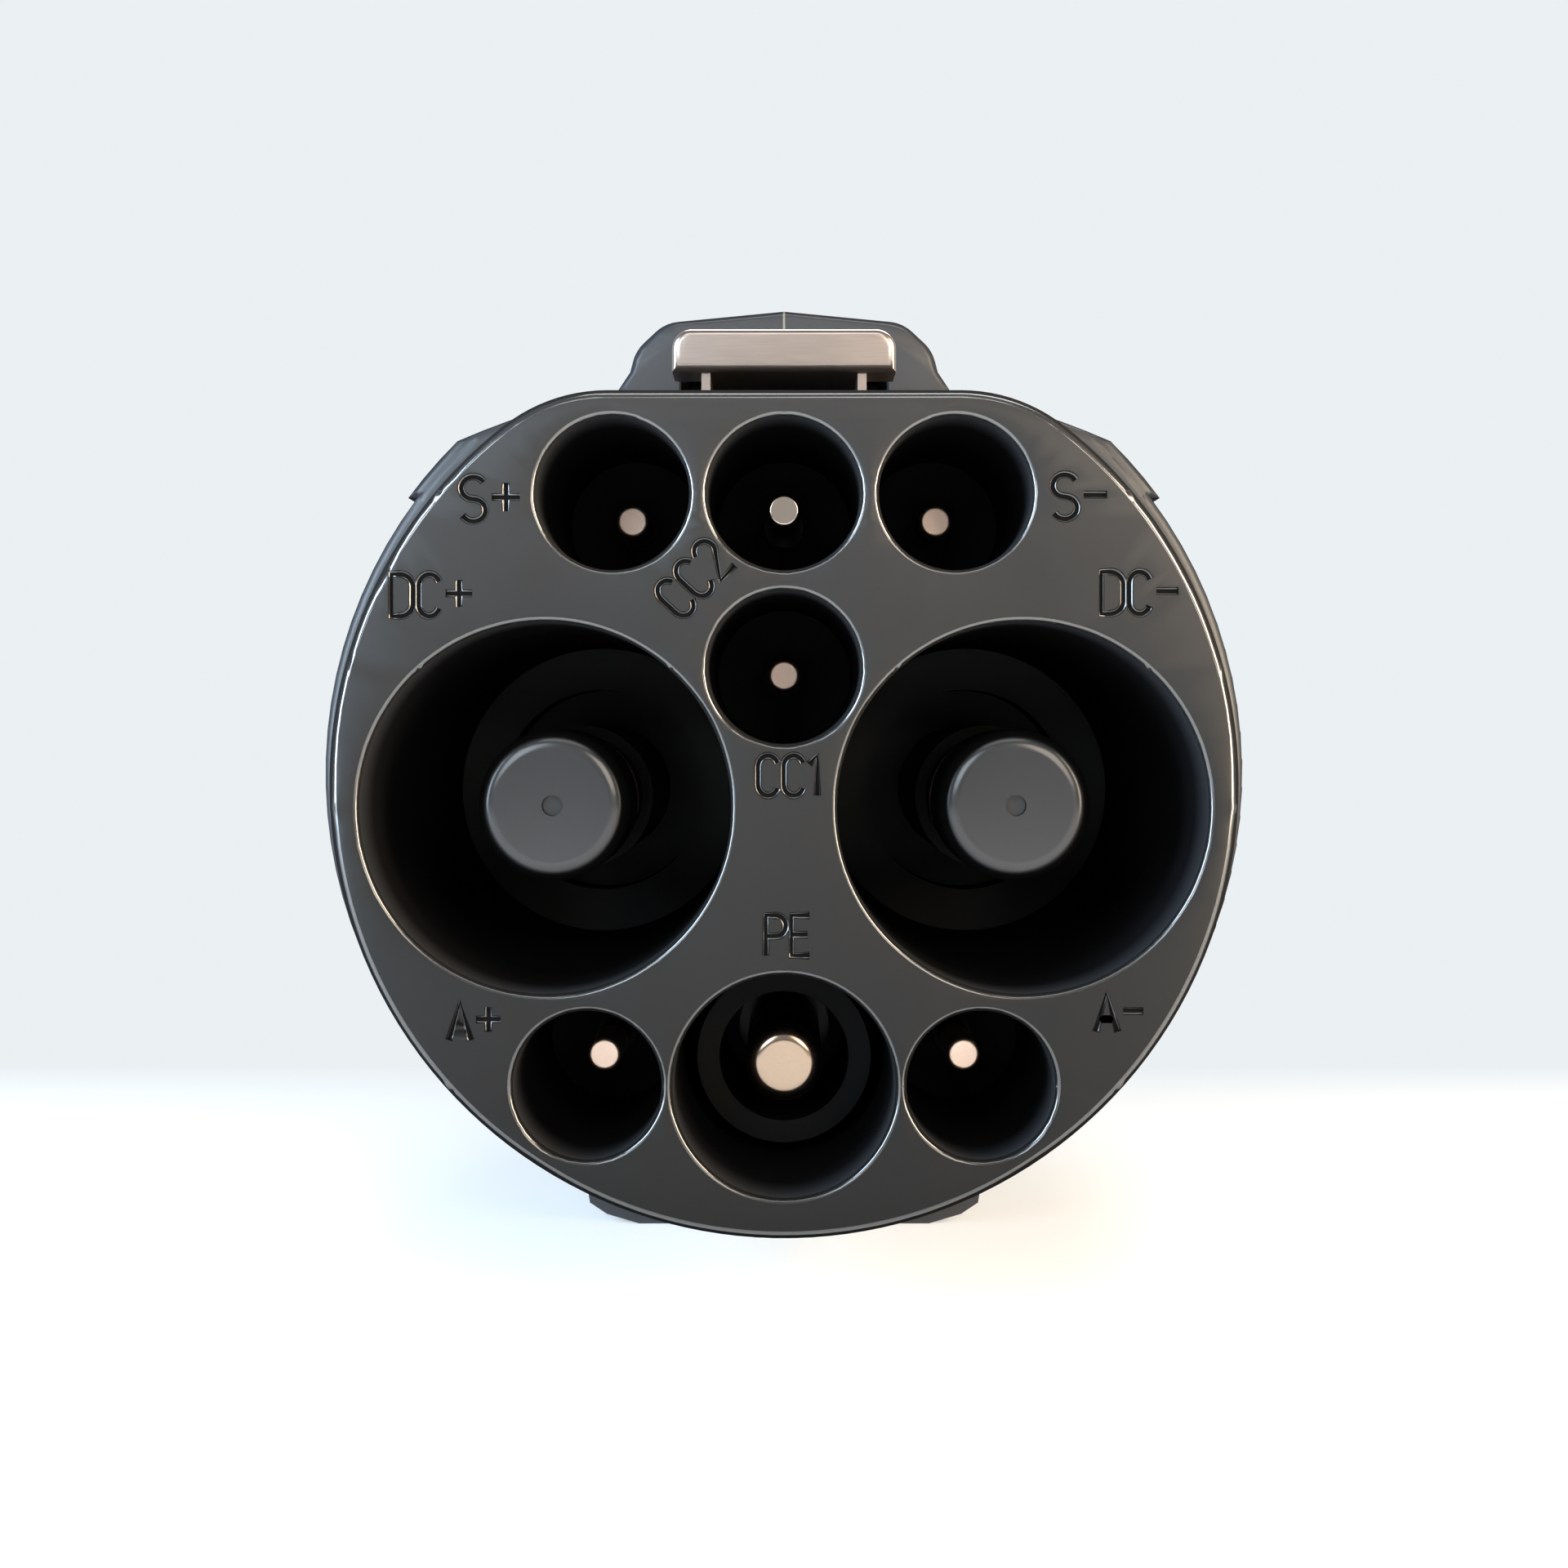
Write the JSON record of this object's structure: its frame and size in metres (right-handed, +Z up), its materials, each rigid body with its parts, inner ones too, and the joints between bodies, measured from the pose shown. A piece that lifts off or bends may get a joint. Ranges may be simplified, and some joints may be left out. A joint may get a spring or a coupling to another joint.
{
  "type": "electric vehicle charging plug",
  "caption": "Direct-current charging plug with pin contacts in sockets, a sprung top latch with release button, a clamshell handle and a cable gland.",
  "frame": {"origin": "centre of the mating face, on the axis of the round head", "axes": "+Y runs from the mating face back into the handle, +Z is up towards the latch, +X is to the right as one looks into the mating face"},
  "size_m": [0.0968, 0.266, 0.0962],
  "materials": {
    "head_plastic": "fine spark-eroded grain",
    "housing_plastic": "fine grain",
    "cap_plastic": "smooth moulded",
    "contact_metal": "silver-plated copper, turned",
    "bright_contact": "bright plated",
    "latch_metal": "brushed, warm tone",
    "plain_steel": "zinc plated",
    "seal_rubber": "matt",
    "button_plastic": "fine grain",
    "board_green": "solder resist",
    "device_black": "moulded",
    "fitting_plastic": "moulded"
  },
  "bodies": {
    "plug_body": {"carrier_top": "head_plastic", "carrier_upper": "head_plastic", "carrier_left": "head_plastic", "carrier_centre": "head_plastic", "carrier_right": "head_plastic", "carrier_middle": "head_plastic", "carrier_bottom": "head_plastic", "seal_backing_ring": "head_plastic", "contact_holder": "head_plastic", "pe_sleeve": "head_plastic", "carrier_back_plate": "head_plastic", "back_plate_screws": "plain_steel", "carrier_seal": "seal_rubber", "pe_contact": "bright_contact", "dc_temperature_sensors": "device_black", "housing_screws": "plain_steel", "latch_pivot_pin": "plain_steel", "latch_spring": "plain_steel", "button_seal": "seal_rubber", "lock_solenoid": "device_black", "mechanism_tray": "fitting_plastic", "tray_screws": "plain_steel", "circuit_board": "board_green", "microswitch": "device_black", "gland_body": "fitting_plastic", "gland_washer": "seal_rubber", "gland_nut": "fitting_plastic", "gland_seal": "seal_rubber", "cable_clamp": "fitting_plastic", "clamp_screws": "plain_steel", "dc_positive_contact": "contact_metal", "dc_positive_cap": "cap_plastic", "dc_negative_contact": "contact_metal", "dc_negative_cap": "cap_plastic", "s_plus_contact": "contact_metal", "s_minus_contact": "contact_metal", "cc1_contact": "contact_metal", "cc2_contact": "bright_contact", "a_plus_contact": "contact_metal", "a_minus_contact": "contact_metal", "housing_left": "housing_plastic", "housing_right": "housing_plastic"},
    "latch": {"latch_lever": "latch_metal"},
    "button": {"release_button": "button_plastic"},
    "lock_bolt": {"lock_plunger": "plain_steel"},
    "switch_pin": {"switch_plunger": "button_plastic"}
  },
  "joints": [
    {"name": "latch_hinge", "type": "hinge", "parent": "plug_body", "child": "latch", "pos_m": [0, 0.074, 0.033], "axis": [-1, 0, 0], "range_deg": [0, 7], "stiffness_Nm_per_rad": 1, "springref_deg": -5.73, "deforming": ["latch_spring"]},
    {"name": "button_slide", "type": "slide", "parent": "plug_body", "child": "button", "axis": [0, 0, -1], "range_m": [0, 0.0037]},
    {"name": "lock_slide", "type": "slide", "parent": "plug_body", "child": "lock_bolt", "axis": [0, -1, 0], "range_m": [0, 0.0045], "stiffness_N_per_m": 50},
    {"name": "switch_slide", "type": "slide", "parent": "plug_body", "child": "switch_pin", "axis": [0, 0, -1], "range_m": [0, 0.0029]}
  ],
  "couplings": [
    {"joint": "button_slide", "follows": "latch_hinge", "m_per_rad": 0.03},
    {"joint": "switch_slide", "follows": "latch_hinge", "m_per_rad": 0.023}
  ]
}
